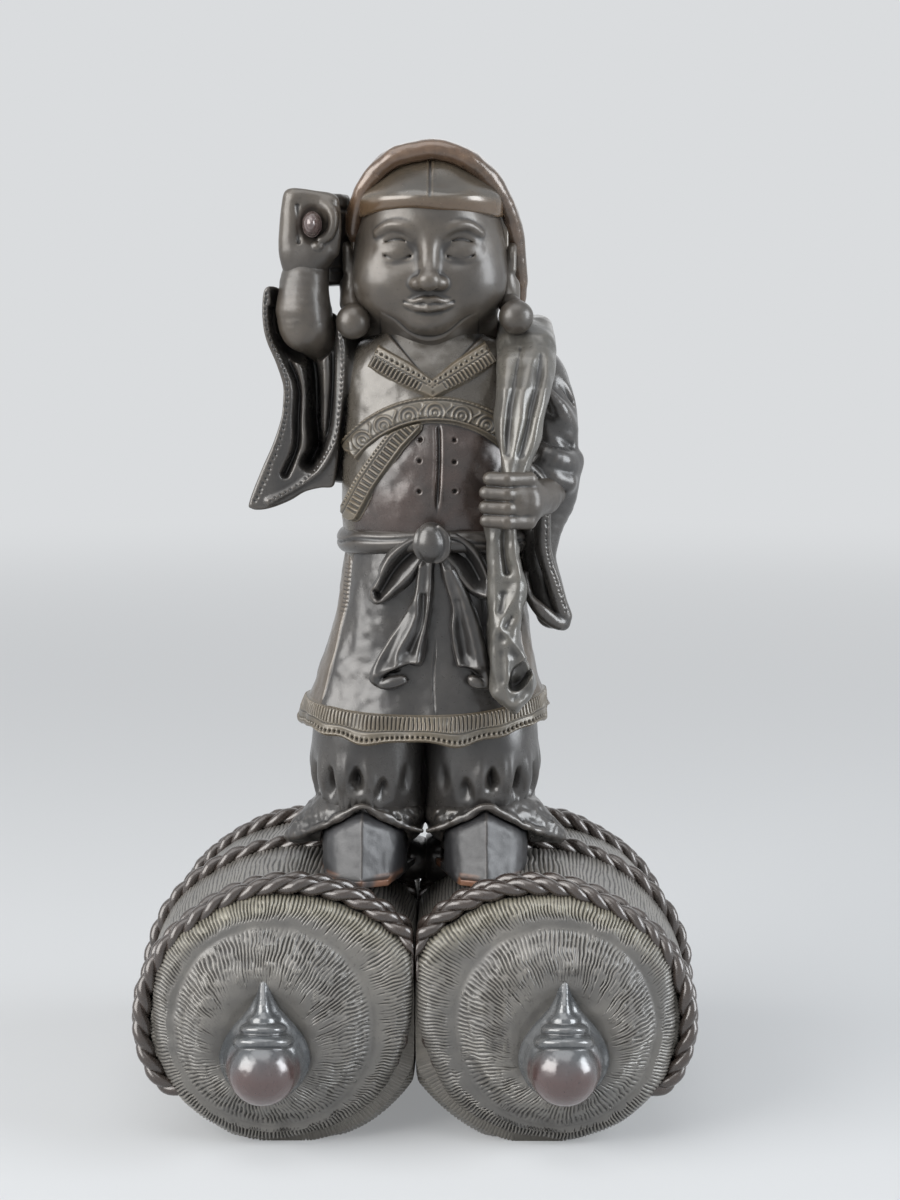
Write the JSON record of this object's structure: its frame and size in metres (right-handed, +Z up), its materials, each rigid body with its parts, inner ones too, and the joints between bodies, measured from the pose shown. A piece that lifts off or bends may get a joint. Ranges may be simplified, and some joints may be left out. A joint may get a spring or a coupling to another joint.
{
  "type": "figurine",
  "caption": "Fired stoneware ornament of a smiling robed figure with a raised mallet and a shouldered sack, standing on straw rice bales.",
  "frame": {"origin": "on the standing surface, at the centre of the outline seen from above", "axes": "+Z up; the figure faces -Y; +X is at the viewer's right, which is the figure's left"},
  "size_m": [0.2042, 0.1848, 0.35],
  "materials": {
    "straw": "matt iron-washed straw texture",
    "rope": "satin iron wash, copper red on the crowns",
    "knob": "glossy copper-brown",
    "robe": "satin dark grey-brown",
    "band": "satin olive-tan relief",
    "belly": "polished red-brown",
    "skin": "satin grey-brown",
    "cap": "satin brown",
    "rim": "satin tan-brown",
    "sack": "satin dark grey-brown",
    "mallet": "satin dark brown"
  },
  "bodies": {
    "root": {"bale_right": "straw", "bale_left": "straw", "lid_front_right": "straw", "lid_front_left": "straw", "lid_rear_right": "straw", "lid_rear_left": "straw", "rope_front_right": "rope", "rope_front_left": "rope", "rope_middle_right": "rope", "rope_middle_left": "rope", "rope_rear_right": "rope", "rope_rear_left": "rope", "knob_front_right": "knob", "knob_front_left": "knob", "knob_rear_right": "knob", "knob_rear_left": "knob", "mallet_handle": "knob", "leg_right": "robe", "leg_left": "robe", "cuff_right": "robe", "cuff_left": "robe", "skirt": "robe", "belt": "robe", "knot": "robe", "sash_loop_right": "robe", "sash_loop_left": "robe", "sash_tail_right": "robe", "sash_tail_left": "robe", "sleeve_right": "robe", "sleeve_left": "robe", "hem_band": "band", "collar_right": "band", "collar_left": "band", "breast_band": "band", "lapel_band": "band", "torso": "belly", "head": "skin", "ear_right": "skin", "ear_left": "skin", "hand_right": "skin", "forearm_right": "skin", "hand_left": "skin", "shoe_right": "skin", "shoe_left": "skin", "cap_front": "cap", "cap_hood": "cap", "cap_rim": "rim", "sack_neck": "sack", "sack_tail": "sack", "sack_bag": "sack", "mallet_head": "mallet"}
  },
  "joints": []
}
